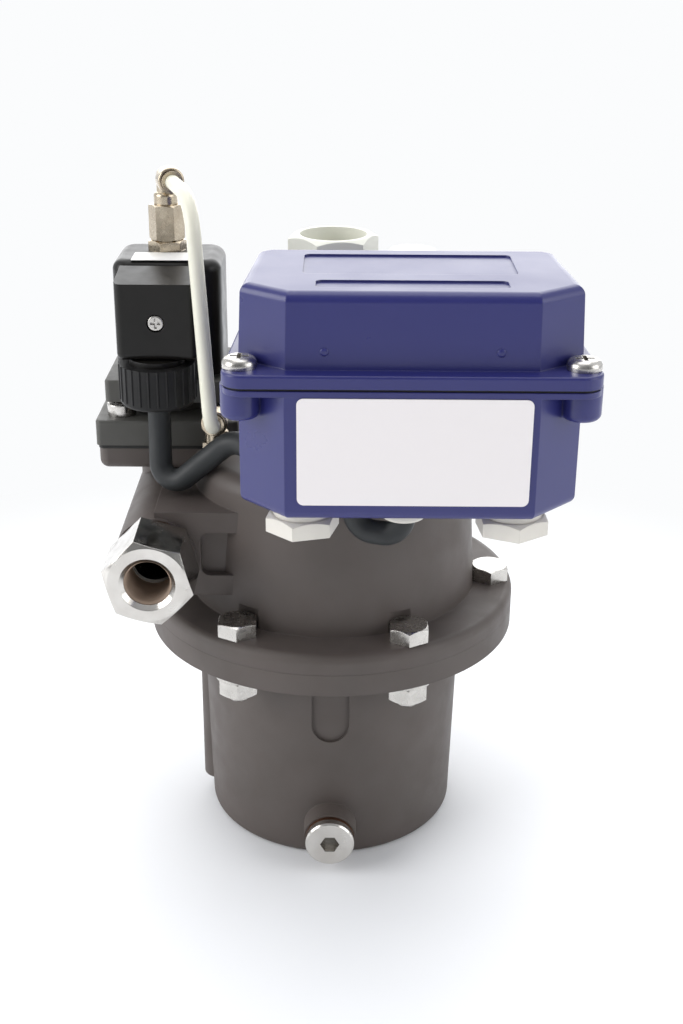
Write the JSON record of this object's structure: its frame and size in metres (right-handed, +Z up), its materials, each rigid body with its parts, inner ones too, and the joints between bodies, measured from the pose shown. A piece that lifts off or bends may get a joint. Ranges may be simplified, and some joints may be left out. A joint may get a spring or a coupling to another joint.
{
  "type": "automatic drain valve",
  "caption": "Level-controlled condensate drain: flanged cast cup and head, diaphragm valve with pilot solenoid, control box, hex outlet and manual drain plug.",
  "frame": {"origin": "centre of the cup's flat base", "axes": "+Z up along the cup's axis; -Y is the front, where the outlet, drain plug and control box's label face; +X is to the right seen from the front"},
  "size_m": [0.164, 0.1685, 0.2426],
  "materials": {
    "cast_aluminium": "matte grey, sand-cast",
    "stainless": "bright",
    "bright_steel": "machined",
    "nickel_brass": "nickel plated",
    "valve_metal": "dark matte",
    "black_plastic": "satin",
    "blue_plastic": "satin",
    "pale_plastic": "satin",
    "cream_plastic": "matte",
    "label_film": "satin",
    "tube_plastic": "satin",
    "white_ptfe": "matte",
    "rubber": "matte",
    "fibre": "matte",
    "cable_sheath": "matte",
    "board": "satin",
    "spring_steel": "bright"
  },
  "bodies": {
    "housing": {"cup": "cast_aluminium", "flange_ring": "rubber", "flange_bolts": "stainless", "flange_washers": "stainless", "flange_nuts": "stainless", "head_casting": "cast_aluminium", "outlet_bush": "bright_steel", "outlet_seal": "fibre", "inlet_plug": "cream_plastic", "vent_plug": "cream_plastic", "diaphragm": "rubber", "valve_spring": "spring_steel", "valve_cover": "valve_metal", "cover_screws": "stainless", "pilot_base": "valve_metal", "guide_tube": "stainless", "armature_spring": "spring_steel", "coil": "black_plastic", "coil_nut": "nickel_brass", "riser": "nickel_brass", "plug_gasket": "rubber", "plug_housing": "black_plastic", "plug_insert": "black_plastic", "plug_screw": "stainless", "gland_nut": "black_plastic", "elbow": "nickel_brass", "port_elbow": "nickel_brass", "pilot_line": "tube_plastic", "cable": "cable_sheath", "control_base": "blue_plastic", "lid_gasket": "rubber", "control_lid": "blue_plastic", "lid_screws": "stainless", "blanking_plugs": "pale_plastic", "blanking_seals": "pale_plastic", "cable_entry": "pale_plastic", "label_plate": "label_film", "box_gasket": "rubber", "box_screws": "stainless", "probe_body": "stainless", "probe_nut": "stainless", "probe_sleeve": "white_ptfe", "probe_rod": "stainless", "circuit_board": "board", "board_screws": "stainless", "terminal_block": "pale_plastic"},
    "armature": {"armature": "stainless"},
    "closing_disc": {"valve_disc": "rubber"},
    "drain_washer": {"drain_plug_seal": "fibre"},
    "drain_screw": {"drain_plug": "bright_steel"},
    "upper_collet": {"elbow_collet": "nickel_brass"},
    "lower_collet": {"port_collet": "nickel_brass"}
  },
  "joints": [
    {"name": "armature_lift", "type": "slide", "parent": "housing", "child": "armature", "axis": [0, 0, 1], "range_m": [0, 0.0015], "stiffness_N_per_m": 400, "springref_m": -0.002, "deforming": ["armature_spring"]},
    {"name": "disc_lift", "type": "slide", "parent": "housing", "child": "closing_disc", "axis": [0, 0, 1], "range_m": [0, 0.003], "stiffness_N_per_m": 600, "springref_m": -0.004, "deforming": ["valve_spring", "diaphragm"]},
    {"name": "drain_travel", "type": "slide", "parent": "housing", "child": "drain_washer", "axis": [0, -1, 0], "range_m": [0, 0.01069]},
    {"name": "drain_turn", "type": "hinge", "parent": "drain_washer", "child": "drain_screw", "pos_m": [0, -0.0567, 0.0135], "axis": [0, -1, 0], "range_deg": [0, 2880]},
    {"name": "upper_collet_push", "type": "slide", "parent": "housing", "child": "upper_collet", "axis": [-0.2924, 0.9563, 0], "range_m": [0, 0.001], "stiffness_N_per_m": 500, "springref_m": -0.0005},
    {"name": "lower_collet_push", "type": "slide", "parent": "housing", "child": "lower_collet", "axis": [0, 1, 0], "range_m": [0, 0.001], "stiffness_N_per_m": 500, "springref_m": -0.0005}
  ],
  "couplings": [
    {"joint": "drain_turn", "follows": "drain_travel", "rad_per_m": 4699.5}
  ]
}
